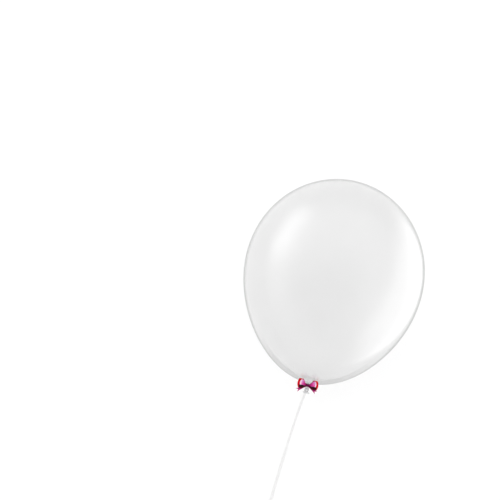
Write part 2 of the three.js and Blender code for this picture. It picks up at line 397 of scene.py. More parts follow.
def satin_group():
    """Satin weave on a UV map in metres: long floats of thread, with streaks where the threads differ."""
    group = bpy.data.node_groups.new("satin_weave", "ShaderNodeTree")
    for name, kind in (("UV", "NodeSocketVector"), ("Thread", "NodeSocketFloat")):
        group.interface.new_socket(name, in_out="INPUT", socket_type=kind)
    for name in ("Height", "Streak"):
        group.interface.new_socket(name, in_out="OUTPUT", socket_type="NodeSocketFloat")
    inputs = group.nodes.new("NodeGroupInput")
    uv = inputs.outputs["UV"]
    scale = calc(group, "DIVIDE", 1.0, inputs.outputs["Thread"])
    floats = add_node(group, "ShaderNodeTexBrick", {
        "Vector": uv, "Scale": scale, "Mortar Size": 0.12, "Mortar Smooth": 1.0,
        "Brick Width": 7.0, "Row Height": 1.0}, offset=0.4)
    stretched = add_node(group, "ShaderNodeMapping", {"Vector": uv, "Scale": STREAKS}).outputs[0]
    streak = noise(group, stretched, 1.0, STREAK_DETAIL)
    height = calc(group, "SUBTRACT", 1.0, floats.outputs["Fac"])
    add_node(group, "NodeGroupOutput", {"Height": height, "Streak": streak})
    return group


SATIN = satin_group()


def read_value(tree, name):
    return add_node(tree, "ShaderNodeAttribute", attribute_name=name).outputs["Fac"]


def satin_material(name, shades, gloss, roughness):
    """Woven satin; shades makes the ribbon's colour in its tree, and the weave is laid over it."""
    material, tree, shader = new_material(name)
    set_inputs(shader, Specular_IOR_Level=gloss, Anisotropic=0.55)
    uv = add_node(tree, "ShaderNodeUVMap", uv_map="UVMap").outputs[0]
    weave = add_node(tree, "ShaderNodeGroup", node_tree=SATIN)
    tree.links.new(uv, weave.inputs["UV"])
    weave.inputs["Thread"].default_value = THREAD

    def streaked(low, high):
        return ramp(tree, weave.outputs["Streak"], NOISE_LOW, NOISE_HIGH, low, high)

    streak = streaked(STREAK_DARK, STREAK_LIGHT)
    shaded = add_node(tree, "ShaderNodeMix", {0: 1.0, 6: shades(tree), 7: streak},
                      data_type="RGBA", blend_type="MULTIPLY")
    tree.links.new(shaded.outputs[2], shader.inputs["Base Color"])
    rough = streaked(roughness - STREAK_SMOOTHER, roughness + STREAK_ROUGHER)
    tree.links.new(rough, shader.inputs["Roughness"])
    bump = add_node(tree, "ShaderNodeBump",
                    {"Strength": 0.3, "Distance": 0.08 * MM, "Height": weave.outputs["Height"]})
    tree.links.new(bump.outputs[0], shader.inputs["Normal"])
    return material


RED = (0.58, 0.001, 0.010, 1)
# MAROON and WINE_BLACK are painted shade on the red ribbon: its pinched waist, its mouth side and edge
# under the magenta loop, and its inner side
MAROON = (0.11, 0.004, 0.012, 1)
WINE_BLACK = (0.012, 0.001, 0.003, 1)
MAGENTA = (0.54, 0.018, 0.21, 1)
HOT_PINK = (0.70, 0.06, 0.34, 1)
# LILAC and PALE_PINK are a painted highlight on the magenta loops' outer ends
LILAC = (0.60, 0.22, 0.52, 1)
PALE_PINK = (0.92, 0.62, 0.76, 1)
# PLUM and PLUM_BLACK are painted shade: the magenta ribbon's pinched waist, its mouth-side edge and inner
# side, and the tie's bands
PLUM = (0.12, 0.001, 0.05, 1)
PLUM_BLACK = (0.012, 0.001, 0.008, 1)
STRING_GREY = grey(0.75)
STRING_WHITE = grey(0.85)
PATCH_SCALE = 30.0
PATCH_DETAIL = 2.0

# Where the bow's colours begin and are full, in shares of the half length or of the half width
# Red: painted shade at the pinched waist, towards the mouth side and on the mouth-side edge, kept off the
# loops' ends
RED_CLEAR = (0.35, 0.62)
RED_SHADE_ENDS = (0.97, 0.86)
RED_SHADE = (-0.3, -0.6)
RED_EDGE = (-0.72, -0.95)
# Magenta: painted shade at the pinched waist and the mouth-side edge; a painted highlight, lilac then pale
# pink, towards the loops' outer ends
MAGENTA_CLEAR = (0.1, 0.4)
PINK = (0.38, 0.62)
LILAC_LENGTHWISE = (0.56, 0.74)
LILAC_CROSSWISE = (-0.45, 0.15)
PALE_ENDS = (0.8, 0.9)
MAGENTA_EDGE = (-0.58, -0.86)


def red_shades(tree):
    """Red ends; the rest is painted shade: a maroon waist where the ribbon is pinched, nearly black towards
    the mouth side under the magenta loop with a maroon edge there, and a nearly black inner side inside the
    loops.
    """
    along = calc(tree, "ABSOLUTE", read_value(tree, "along"))
    across = read_value(tree, "across")
    # painted shade: maroon where the ribbon is pinched at the waist
    body = colour_mix(tree, ramp(tree, along, *RED_CLEAR), MAROON, RED)
    inside = ramp(tree, along, *RED_SHADE_ENDS)
    # painted shadow under the magenta loop: nearly black towards the mouth side
    dark = calc(tree, "MULTIPLY", ramp(tree, across, *RED_SHADE), inside)
    low = colour_mix(tree, dark, body, WINE_BLACK)
    # painted shade: a maroon mouth-side edge
    edge = calc(tree, "MULTIPLY", ramp(tree, across, *RED_EDGE), inside)
    rim = colour_mix(tree, edge, low, MAROON)
    # painted shade: the inner side, inside the loops, nearly black
    return colour_mix(tree, read_value(tree, "lining"), rim, WINE_BLACK)


def magenta_shades(tree):
    """Plum at the waist, then magenta, pink and lilac, with pale ends and a dark mouth-side edge; the plum
    waist, the dark edge and the dark inner side are painted shade, and the lilac and pale ends are a
    painted highlight.
    """
    along = calc(tree, "ABSOLUTE", read_value(tree, "along"))
    across = read_value(tree, "across")
    # painted shade: plum where the ribbon is pinched at the waist
    body = colour_mix(tree, ramp(tree, along, *MAGENTA_CLEAR), PLUM, MAGENTA)
    pink = colour_mix(tree, ramp(tree, along, *PINK), body, HOT_PINK)
    # painted highlight: lilac on the upper side of the loops' outer parts, then pale pink at their ends
    outer = ramp(tree, along, *LILAC_LENGTHWISE)
    upper = calc(tree, "MULTIPLY", outer, ramp(tree, across, *LILAC_CROSSWISE))
    lilac = colour_mix(tree, upper, pink, LILAC)
    shine = colour_mix(tree, ramp(tree, along, *PALE_ENDS), lilac, PALE_PINK)
    # painted shade: a nearly black mouth-side edge, and a nearly black inner side inside the loops
    edge = colour_mix(tree, ramp(tree, across, *MAGENTA_EDGE), shine, PLUM_BLACK)
    return colour_mix(tree, read_value(tree, "lining"), edge, PLUM_BLACK)


def tie_shades(tree):
    """Magenta tails, and dark plum bands round the bow's waist and the neck: painted shade where the tie
    pinches the bow.
    """
    return colour_mix(tree, read_value(tree, "along"), MAGENTA, PLUM)


def string_shades(tree):
    """White, a little greyer here and there along the ribbon."""
    patches = noise(tree, object_place(tree), PATCH_SCALE, PATCH_DETAIL)
    return colour_mix(tree, patches, STRING_GREY, STRING_WHITE)


WHITE_SATIN = satin_material("white_ribbon_satin", string_shades, gloss=0.4, roughness=0.4)
RED_SATIN = satin_material("red_ribbon_satin", red_shades, gloss=0.08, roughness=0.32)
MAGENTA_SATIN = satin_material("magenta_ribbon_satin", magenta_shades, gloss=0.12, roughness=0.28)
TIE_SATIN = satin_material("tie_ribbon_satin", tie_shades, gloss=0.12, roughness=0.32)
FILM = film_material()
GATHERED = gathered_latex_material()


# Ribbons made of strips; a selvedge thickens a ribbon near its edges, at shares of its half width
BAND_ROWS = 96
BAND_COLUMNS = 17
SELVEDGE = 0.5
SELVEDGE_FROM = 0.84
SELVEDGE_FULL = 0.93
SELVEDGE_ROUND_FROM = 0.97
SELVEDGE_ROUNDING = 0.6


def ribbon_section(middle, thickness, closed):
    """The points round a ribbon at each row of its middle: outer side, edge, inner side and edge."""
    if closed:
        forward = np.roll(middle, -1, 0) - np.roll(middle, 1, 0)
    else:
        forward = np.gradient(middle, axis=0)
    sideways = np.gradient(middle, axis=1)
    normal = np.cross(sideways, forward)
    normal /= np.linalg.norm(normal, axis=2, keepdims=True)
    share = np.abs(np.linspace(-1, 1, middle.shape[1]))
    rounding = 1 - SELVEDGE_ROUNDING * smoothstep(SELVEDGE_ROUND_FROM, 1, share)
    edge = 1 + SELVEDGE * smoothstep(SELVEDGE_FROM, SELVEDGE_FULL, share) * rounding
    half = 0.5 * thickness * edge[None, :, None]
    outer = middle + normal * half
    inner = middle - normal * half
    reach = sideways / np.linalg.norm(sideways, axis=2, keepdims=True) * (0.5 * thickness)
    far_edge = (middle + reach)[:, -1:]
    near_edge = (middle - reach)[:, :1]
    return np.concatenate([outer, far_edge, inner[:, ::-1], near_edge], axis=1)


def ribbon_faces(rows, columns, closed):
    """Each face's corners as a row and a place round it; an open ribbon has capped ends."""
    round_count = 2 * columns + 2
    faces = []
    for row in range(rows if closed else rows - 1):
        for place in range(round_count):
            beside = (place + 1) % round_count
            faces.append([(row, place), (row, beside), (row + 1, beside), (row + 1, place)])
    if not closed:
        caps = [[place, 2 * columns - place, 2 * columns - 1 - place, place + 1]
                for place in range(columns - 1)]
        caps += [[columns - 1, columns + 1, columns], [2 * columns + 1, 2 * columns, 0]]
        faces += [[(0, place) for place in cap] for cap in caps]
        faces += [[(rows - 1, place) for place in reversed(cap)] for cap in caps]
    return faces


def running_length(line):
    """The length of a line up to each of its points."""
    return np.concatenate([[0], np.cumsum(np.linalg.norm(np.diff(line, axis=0), axis=1))])


def ribbon_solid(middle, thickness, closed):
    """Points, faces, face UVs and inner side values of a ribbon whose middle is a grid of rows along it."""
    rows, columns = middle.shape[:2]
    section = ribbon_section(middle, thickness, closed)
    # lining is 0 on the outer side, 1 on the inner side and 0.5 on the edges; the bow's red and magenta
    # satins paint the inner side nearly black, painted shade inside the loops
    lining = np.concatenate([np.zeros(columns), [0.5], np.ones(columns), [0.5]])
    widest = np.argmax(np.linalg.norm(middle[:, -1] - middle[:, 0], axis=1))
    across = running_length(middle[widest])
    across_round = np.concatenate([across, across[-1:], across[::-1], across[:1]])
    line = middle[:, columns // 2]
    along = running_length(np.concatenate([line, line[:1]]))
    faces = ribbon_faces(rows, columns, closed)
    numbers = [[row % rows * section.shape[1] + place for row, place in face] for face in faces]
    corners = [[(along[row], across_round[place]) for row, place in face] for face in faces]
    return section.reshape(-1, 3), numbers, corners, np.tile(lining, rows)


def volume(points, faces):
    """The volume inside the faces; it is below zero where they point inwards."""
    total = 0.0
    for face in faces:
        for second, third in zip(face[1:], face[2:]):
            total += np.dot(points[face[0]], np.cross(points[second], points[third]))
    return total / 6


def ribbon_piece(name, strips, thickness, material):
    """One piece of ribbon from strips: each is a grid with its along and across values, closed or not."""
    points = []
    faces = []
    uvs = []
    values = {"lining": [], "along": [], "across": []}
    for (grid, along, across), closed in strips:
        start = len(points)
        spots, quads, corners, lining = ribbon_solid(grid, thickness, closed)
        if volume(spots - spots.mean(axis=0), quads) < 0:
            quads = [quad[::-1] for quad in quads]
            corners = [corner[::-1] for corner in corners]
        points.extend(spots)
        faces.extend([start + place for place in quad] for quad in quads)
        uvs.extend(place for corner in corners for place in corner)
        columns = np.arange(grid.shape[1])
        order = np.concatenate([columns, columns[-1:], columns[::-1], columns[:1]])
        values["lining"].extend(lining)
        values["along"].extend(along[:, order].reshape(-1))
        values["across"].extend(across[:, order].reshape(-1))
    piece = mesh_piece(name, points, faces)
    piece.data.uv_layers.new(name="UVMap").data.foreach_set("uv", np.array(uvs).reshape(-1))
    for key, numbers in values.items():
        add_point_values(piece, key, numbers)
    piece.data.polygons.foreach_set("use_smooth", [True] * len(faces))
    piece.data.materials.append(material)
    return piece


def neck_band(outwards, width, radius, crease=0, creases=0):
    """Grid, along and across values of a band round the neck."""
    turn = np.linspace(0, 2 * np.pi, BAND_ROWS, endpoint=False)[:, None]
    share = np.linspace(-1, 1, BAND_COLUMNS)[None, :]
    creased = radius + crease * np.cos(creases * np.pi * share)
    place = NECK_ROOT - outwards + width / 2 * share + 0 * turn
    grid = np.stack([creased * np.sin(turn), place, AXIS_HEIGHT + creased * np.cos(turn)], axis=2)
    return grid, np.ones((BAND_ROWS, BAND_COLUMNS)), share + 0 * turn


# Ribbon string
def ribbon_tree():
    """A ribbon along a route, level from side to side and cupped across, with a UV map in metres."""
    tree, inputs = geometry_tree("ribbon_on_route", {
        "Width": "NodeSocketFloat", "Thickness": "NodeSocketFloat", "Cup": "NodeSocketFloat",
        "Material": "NodeSocketMaterial"})
    line = add_node(tree, "GeometryNodeMeshToCurve", {"Mesh": inputs.outputs["Geometry"]})
    level = add_node(tree, "GeometryNodeSetCurveNormal", {"Curve": line.outputs[0]}, mode="Z_UP")
    kept = add_node(tree, "GeometryNodeCaptureAttribute", {"Geometry": level.outputs[0]})
    kept.capture_items.new("FLOAT", "Length")
    tree.links.new(add_node(tree, "GeometryNodeSplineParameter").outputs["Length"], kept.inputs["Length"])
    position = add_node(tree, "GeometryNodeInputPosition").outputs[0]
    ring = add_node(tree, "GeometryNodeCurvePrimitiveCircle", {"Resolution": SECTION_POINTS, "Radius": 1.0})
    spot = add_node(tree, "ShaderNodeSeparateXYZ", {0: position})

    def squared(value):
        bulge = calc(tree, "POWER", calc(tree, "ABSOLUTE", value), SECTION_ROUNDNESS)
        return calc(tree, "MULTIPLY", bulge, calc(tree, "SIGN", value))

    share = squared(spot.outputs["X"])
    sideways = calc(tree, "MULTIPLY", share, calc(tree, "MULTIPLY", inputs.outputs["Width"], 0.5))
    half_thickness = calc(tree, "MULTIPLY", inputs.outputs["Thickness"], 0.5)
    raised = calc(tree, "MULTIPLY", calc(tree, "MULTIPLY", share, share), inputs.outputs["Cup"])
    flat = calc(tree, "MULTIPLY", squared(spot.outputs["Y"]), half_thickness)
    downwards = calc(tree, "SUBTRACT", flat, raised)
    section = add_node(tree, "GeometryNodeSetPosition", {
        "Geometry": ring.outputs[0],
        "Position": add_node(tree, "ShaderNodeCombineXYZ", {"X": sideways, "Y": downwards}).outputs[0]})
    side = add_node(tree, "GeometryNodeCaptureAttribute", {"Geometry": section.outputs[0]})
    side.capture_items.new("VECTOR", "Side")
    tree.links.new(position, side.inputs["Side"])
    swept = add_node(tree, "GeometryNodeCurveToMesh", {
        "Curve": kept.outputs["Geometry"], "Profile Curve": side.outputs["Geometry"],
        "Scale": stored_value(tree, "gather"), "Fill Caps": True})
    across = add_node(tree, "ShaderNodeSeparateXYZ", {0: side.outputs["Side"]}).outputs["X"]
    map_place = add_node(tree, "ShaderNodeCombineXYZ", {"X": kept.outputs["Length"], "Y": across})
    mapped = add_node(tree, "GeometryNodeStoreNamedAttribute", {
        "Geometry": swept.outputs[0], "Name": "UVMap", "Value": map_place.outputs[0]},
        data_type="FLOAT2", domain="CORNER")
    end_tree(tree, mapped.outputs[0], inputs.outputs["Material"])
    return tree


def smooth_route(points, step):
    """A Catmull-Rom line through the points, with a point about every step."""
    stops = [points[0] * 2 - points[1], *points, points[-1] * 2 - points[-2]]
    line = []
    for before, start, end, after in zip(stops, stops[1:], stops[2:], stops[3:]):
        count = max(1, round((end - start).length / step))
        for part in range(count):
            share = part / count
            line.append(0.5 * (2 * start + (end - before) * share
                               + (2 * before - 5 * start + 4 * end - after) * share * share
                               + (3 * start - before - 3 * end + after) * share * share * share))
    return line + [points[-1]]


def chain(points):
    return [(number, number + 1) for number in range(len(points) - 1)]


def gathered_widths(line, knots):
    """The ribbon's share of its full width at each point of its line: it is pulled in at its knots."""
    nearest = [min((point - knot).length for knot in knots) for point in line]
    return [mix(GATHERED_SHARE, 1, smoothstep(0, GATHER_REACH, distance)) for distance in nearest]


def overhand_knot(name, middle, size):
    """The three crossing loops of a tight overhand knot, lying flat."""
    turn = np.linspace(0, 2 * np.pi, STRING_KNOT_POINTS, endpoint=False)
    x = np.sin(turn) + 2 * np.sin(2 * turn)
    y = np.cos(turn) - 2 * np.cos(2 * turn)
    z = -STRING_KNOT_RISE * np.sin(3 * turn)
    loop = np.stack([x, y, z], axis=1) * size / 3 + np.array(middle)
    knot = mesh_piece(name, loop, edges=chain(loop) + [(STRING_KNOT_POINTS - 1, 0)])
    add_point_values(knot, "gather", np.ones(STRING_KNOT_POINTS))
    grow(knot, RIBBON_TREE, {
        "Width": STRAND_WIDTH * size, "Thickness": STRAND_THICKNESS * size, "Cup": 0.0,
        "Material": WHITE_SATIN})
    finish_piece(knot, "white_ribbon")
    return knot


STRING_START = NECK_ROOT - STRING_AT
route_points = [Vector((STRING_SIDE_DRIFT * out * MM, STRING_START - out * MM, height * MM))
                for out, height in STRING_ROUTE]
route = smooth_route(route_points, ROUTE_STEP)
RIBBON_TREE = ribbon_tree()
end_place = route[-1] - (route[-1] - route[-2]).normalized() * STRING_KNOT_FROM_END
ribbon_string = mesh_piece("string_ribbon", route, edges=chain(route))
add_point_values(ribbon_string, "gather", gathered_widths(route, [route[0], end_place]))
grow(ribbon_string, RIBBON_TREE, {
    "Width": STRING_WIDTH, "Thickness": STRING_THICKNESS, "Cup": STRING_CUP, "Material": WHITE_SATIN})
finish_piece(ribbon_string, "white_ribbon", "ribbon_string")
end_knot = overhand_knot("string_end_knot", (end_place.x, end_place.y, END_KNOT_HEIGHT), END_KNOT_SIZE)
tie_place = (0, STRING_START, AXIS_HEIGHT - TIE_KNOT_DROP)
tie_knot = overhand_knot("string_tie_knot", tie_place, TIE_KNOT_SIZE)
wraps = [(neck_band(outwards, WRAP_WIDTH, WRAP_RADIUS), True) for outwards in WRAPS_AT]
neck_wraps = ribbon_piece("string_neck_wraps", wraps, WRAP_THICKNESS, WHITE_SATIN)
finish_piece(neck_wraps, "white_ribbon")

# Balloon: rings along its skin, and how the skin is folded near its neck
BODY_RINGS = 150
FILLET_RINGS = 24
NECK_RINGS = 8
KNOT_RINGS = 20
MOUTH_RINGS = 10
LIP_RINGS = 14
FUNNEL_RINGS = 12
LATHE_SIDES = 240
MERGE_DISTANCE = 0.01 * MM
FINE_PLEATS = 26
FINE_PHASE = 0.4
FINE_SHARE = 0.6
COARSE_PLEATS = 17
COARSE_PHASE = 1.7
COARSE_SHARE = 0.4
PLEAT_DEPTH = 1.1 * MM
PLEAT_SHARE = 0.05
PLEAT_REACH = 170 * MM
PLEAT_FULL = 40 * MM
KNOT_RIDGE = 1.1 * MM
KNOT_RIDGES = 2.0
KNOT_TWIST_PER_METRE = 420.0
MOUTH_OVAL = 0.14
OVAL_WAVES = 2.0
OVAL_PHASE = 2.6
RUFFLE_DEPTH = 1.2 * MM
RUFFLE_WAVES = 3.0
RUFFLE_PHASE = 0.5
FUNNEL_CREASE = 0.7 * MM


def balloon_profile():
    """The skin from crown to mouth: rows of radius, place, pleat, ridge, ruffle and crease sizes."""
    rows = []

    def row(radius, outwards, ridge=0.0, ruffle=0.0, crease=0.0):
        pleat = min(PLEAT_DEPTH, PLEAT_SHARE * radius) * smoothstep(PLEAT_REACH, PLEAT_FULL, radius)
        folded = -BODY_LENGTH / 2 < outwards < KNOT_FROM
        rows.append((radius, NECK_ROOT - outwards, pleat if folded else 0, ridge, ruffle, crease))

    for step in range(BODY_RINGS + 1):
        angle = (math.pi - NECK_JOIN_ANGLE) * step / BODY_RINGS
        along = math.cos(angle)
        fullness = 1 + CROWN_FULLNESS * along + END_TAPER * along * along
        row(BODY_RADIUS * math.sin(angle) * fullness, -BODY_LENGTH / 2 * (1 + along))
    join_radius, join_place = rows[-1][:2]
    corners = [(join_radius, NECK_ROOT - join_place), (join_radius * FILLET_PULL, 0),
               (NECK_RADIUS, FILLET_DROP), (NECK_RADIUS, FILLET_END)]
    for step in range(1, FILLET_RINGS + 1):
        share = step / FILLET_RINGS
        rest = 1 - share
        weights = (rest ** 3, 3 * share * rest ** 2, 3 * share * share * rest, share ** 3)
        row(*(sum(weight * corner[axis] for weight, corner in zip(weights, corners)) for axis in (0, 1)))
    for step in range(1, NECK_RINGS + 1):
        row(NECK_RADIUS, mix(FILLET_END, KNOT_FROM, step / NECK_RINGS))
    for step in range(1, KNOT_RINGS + 1):
        share = step / KNOT_RINGS
        waist = mix(NECK_RADIUS, MOUTH_WAIST, share)
        swell = math.sin(math.pi * share)
        row(mix(waist, KNOT_RADIUS, swell), mix(KNOT_FROM, KNOT_TO, share), ridge=KNOT_RIDGE * swell)
    for step in range(1, MOUTH_RINGS + 1):
        share = step / MOUTH_RINGS
        flare = mix(MOUTH_WAIST, MOUTH_RADIUS, share * share)
        row(flare, mix(KNOT_TO, MOUTH_FLARE_END - LIP_BEAD, share), ruffle=share)
    for step in range(LIP_RINGS + 1):
        turn = mix(-math.pi / 4, math.pi, step / LIP_RINGS)
        bead = MOUTH_RADIUS + LIP_BEAD * math.cos(turn)
        row(bead, MOUTH_FLARE_END + LIP_BEAD * math.sin(turn), ruffle=1)
    for step in range(1, FUNNEL_RINGS + 1):
        share = step / FUNNEL_RINGS
        depth = mix(MOUTH_FLARE_END, MOUTH_FLOOR, math.sin(math.pi / 2 * share))
        crease = FUNNEL_CREASE * math.sin(math.pi * share)
        row(mix(MOUTH_RADIUS - LIP_BEAD, 0, share), depth, ruffle=1 - share, crease=crease)
    return rows


def balloon_tree():
    """Turns the skin's profile round the balloon's axis, with its folds and the flat spot under it."""
    tree, inputs = geometry_tree("balloon_lathe", {
        "Sides": "NodeSocketInt", "Fine Pleats": "NodeSocketInt", "Coarse Pleats": "NodeSocketInt",
        "Axis Height": "NodeSocketFloat", "Spot Softness": "NodeSocketFloat",
        "Neck Start": "NodeSocketFloat", "Film": "NodeSocketMaterial",
        "Gathered Latex": "NodeSocketMaterial"})
    profile = inputs.outputs["Geometry"]
    count = add_node(tree, "GeometryNodeAttributeDomainSize", {"Geometry": profile}).outputs["Point Count"]
    columns = calc(tree, "ADD", inputs.outputs["Sides"], 1.0)
    grid = add_node(tree, "GeometryNodeMeshGrid", {
        "Size X": 1.0, "Size Y": 1.0, "Vertices X": columns, "Vertices Y": count})
    position = add_node(tree, "GeometryNodeInputPosition").outputs[0]
    place = add_node(tree, "ShaderNodeSeparateXYZ", {0: position})
    turn = calc(tree, "MULTIPLY", calc(tree, "ADD", place.outputs["X"], 0.5), 2 * math.pi)
    last = calc(tree, "SUBTRACT", count, 1.0)
    ring = calc(tree, "ROUND", calc(tree, "MULTIPLY", calc(tree, "ADD", place.outputs["Y"], 0.5), last))

    def sampled(value, kind):
        wanted = {"Geometry": profile, "Value": value, "Index": ring}
        return add_node(tree, "GeometryNodeSampleIndex", wanted, data_type=kind, domain="POINT").outputs[0]

    def stored(name):
        return sampled(stored_value(tree, name), "FLOAT")

    def wave(kind, waves=1.0, phase=0.0):
        return calc(tree, kind, calc(tree, "ADD", calc(tree, "MULTIPLY", turn, waves), phase))

    def times(first, second):
        return calc(tree, "MULTIPLY", first, second)

    parts = add_node(tree, "ShaderNodeSeparateXYZ", {0: sampled(position, "FLOAT_VECTOR")})
    radius = parts.outputs["X"]
    along = parts.outputs["Y"]
    fine = times(wave("SINE", inputs.outputs["Fine Pleats"], FINE_PHASE), FINE_SHARE)
    coarse = times(wave("SINE", inputs.outputs["Coarse Pleats"], COARSE_PHASE), COARSE_SHARE)
    folds = calc(tree, "ADD", fine, coarse)
    folded = calc(tree, "MULTIPLY_ADD", stored("pleat"), folds, radius)
    winding = wave("SINE", KNOT_RIDGES, times(along, KNOT_TWIST_PER_METRE))
    wound = calc(tree, "MULTIPLY_ADD", stored("ridge"), winding, folded)
    ruffle = stored("ruffle")
    oval = times(times(ruffle, MOUTH_OVAL), wave("COSINE", OVAL_WAVES, OVAL_PHASE))
    final = times(wound, calc(tree, "ADD", oval, 1.0))
    ruffled = times(times(ruffle, RUFFLE_DEPTH), wave("SINE", RUFFLE_WAVES, RUFFLE_PHASE))
    creased = calc(tree, "MULTIPLY_ADD", stored("crease"), folds, ruffled)
    height = calc(tree, "MULTIPLY_ADD", final, wave("COSINE"), inputs.outputs["Axis Height"])
    rested = calc(tree, "SMOOTH_MAX", height, 0.0, inputs.outputs["Spot Softness"])
    spot = add_node(tree, "ShaderNodeCombineXYZ", {
        "X": times(final, wave("SINE")), "Y": calc(tree, "ADD", along, creased), "Z": rested})
    shaped = add_node(tree, "GeometryNodeSetPosition", {
        "Geometry": grid.outputs["Mesh"], "Position": spot.outputs[0]})
    closed = add_node(tree, "GeometryNodeMergeByDistance", {
        "Geometry": shaped.outputs[0], "Distance": MERGE_DISTANCE})
    outward = add_node(tree, "GeometryNodeFlipFaces", {"Mesh": closed.outputs[0]})
    smooth = add_node(tree, "GeometryNodeSetShadeSmooth", {"Geometry": outward.outputs[0]})
    film = add_node(tree, "GeometryNodeSetMaterial", {
        "Geometry": smooth.outputs[0], "Material": inputs.outputs["Film"]})
    where = add_node(tree, "ShaderNodeSeparateXYZ", {0: position})
    neck = calc(tree, "LESS_THAN", where.outputs["Y"], inputs.outputs["Neck Start"])
    end_tree(tree, film.outputs[0], inputs.outputs["Gathered Latex"], neck)
    return tree


profile = balloon_profile()
balloon = mesh_piece("balloon_film", [(radius, place, 0) for radius, place, *_ in profile])
for column, name in enumerate(("pleat", "ridge", "ruffle", "crease"), start=2):
    add_point_values(balloon, name, [values[column] for values in profile])
grow(balloon, balloon_tree(), {
    "Sides": LATHE_SIDES, "Fine Pleats": FINE_PLEATS, "Coarse Pleats": COARSE_PLEATS,
    "Axis Height": AXIS_HEIGHT, "Spot Softness": SPOT_SOFTNESS, "Neck Start": NECK_ROOT - NECK_TUBE_FROM,
    "Film": FILM, "Gathered Latex": GATHERED})
finish_piece(balloon, "clear_latex", "balloon")

# Bow ribbons: the folds begin, are full, fade and end at these lengths from the waist
RING_ROWS = 220
RING_COLUMNS = 33
FOLDS = 3
FOLD_DEPTH = 1.6 * MM
FOLD_FROM = 5 * MM
FOLD_FULL = 13 * MM
FOLD_FADE = 18 * MM
FOLD_END = 44 * MM
CAMBER = 2.2 * MM


def bow_to_world(points):
    """Puts points of the bow, measured from the neck's axis, in their place on the part."""
    turn = np.array(Matrix.Rotation(BOW_TURN, 3, "Z"))
    return np.asarray(points) @ turn.T + np.array((BOW_SIDE, NECK_ROOT - BOW_AT, AXIS_HEIGHT))


def spread(along):
    """How far a ribbon has opened at a length from the waist: 0 where it is pinched, 1 in the loops."""
    return smoothstep(SPREAD_FROM, SPREAD_TO, np.abs(along))


def round_end(along, half_length, radius):
    """Share of a loop's depth at a length from the waist: 1, and falling as an arc at the loop's end."""
    past = np.maximum(0, np.abs(along) - (half_length - radius)) / radius
    return np.sqrt(np.maximum(0, 1 - past * past))


def loop_depth(along, depth):
    return mix(WAIST_DEPTH, depth, spread(along))


def red_leaf(along, side):
    """Height of the red ribbon's front side, 1, or back side, -1."""
    middle = WAIST_BOTTOM + RIBBON_ROOM + WAIST_DEPTH + RED_RISE * spread(along)
    return middle + side * loop_depth(along, RED_DEPTH) * round_end(along, RED_HALF_LENGTH, RED_DEPTH)


def magenta_leaf(along, side):
    """Height of the magenta ribbon's front side, 1, or of its back side, -1, which lies on the red one."""
    back = red_leaf(along, 1) + LAYER_STEP
    rise = round_end(along, MAGENTA_HALF_LENGTH, MAGENTA_DEPTH) * loop_depth(along, MAGENTA_DEPTH)
    return back + (1 + side) * rise


def gather_fold(along, y):
    """Folds that run out of the waist, the same in every layer, so that the layers lie in each other."""
    width = mix(WAIST_HALF_WIDTH, RED_HALF_WIDTH, spread(along))
    out = np.abs(along)
    ridge = smoothstep(FOLD_FROM, FOLD_FULL, out) * (1 - smoothstep(FOLD_FADE, FOLD_END, out))
    return FOLD_DEPTH * ridge * np.cos(FOLDS * np.pi * y / width)


def pinched_ring(leaf, half_length, half_width, shift, camber):
    """Grid, along and across values of a ring of ribbon, pressed flat and pinched at its middle."""
    turn = np.linspace(0, 2 * np.pi, RING_ROWS, endpoint=False)[:, None]
    share = np.linspace(-1, 1, RING_COLUMNS)[None, :]
    along = half_length * np.cos(turn)
    side = np.where(np.sin(turn) < 0, -1, 1)
    width = mix(WAIST_HALF_WIDTH, half_width, spread(along))
    y = width * share + (LOOP_LIFT + shift * np.sin(turn)) * spread(along)
    x = along * (1 - END_BARREL * share * share * spread(along))
    puff = camber * (1 - share * share) * spread(along) * np.sqrt(np.maximum(0, np.sin(turn)))
    z = leaf(along, side) + gather_fold(along, y) + puff
    return bow_to_world(np.stack([x, y, z], axis=2)), np.cos(turn) + 0 * share, share + 0 * turn


red_ring = pinched_ring(red_leaf, RED_HALF_LENGTH, RED_HALF_WIDTH, 0, 0)
red_ribbon = ribbon_piece("bow_red_satin", [(red_ring, True)], RIBBON_THICKNESS, RED_SATIN)
finish_piece(red_ribbon, "red_satin", "bow_red_ribbon")
magenta_ring = pinched_ring(magenta_leaf, MAGENTA_HALF_LENGTH, MAGENTA_HALF_WIDTH, MAGENTA_SHIFT, CAMBER)
magenta_ribbon = ribbon_piece("bow_magenta_satin", [(magenta_ring, True)], RIBBON_THICKNESS, MAGENTA_SATIN)
finish_piece(magenta_ribbon, "magenta_satin", "bow_magenta_ribbon")

# Tie ribbon
NECK_BAND_RADIUS = NECK_RADIUS + 2 * TIE_GAP + TIE_THICKNESS / 2
BAND_CREASE = 0.3 * MM
WAIST_CREASES = 4
NECK_CREASES = 3
BAND_SQUARENESS = 0.5
TAIL_ROWS = 40
TAIL_WAVES = 3
TAIL_WAVE = 0.9 * MM
TAIL_DROOP = 2.5 * MM
TAIL_CURL = 0.8 * MM


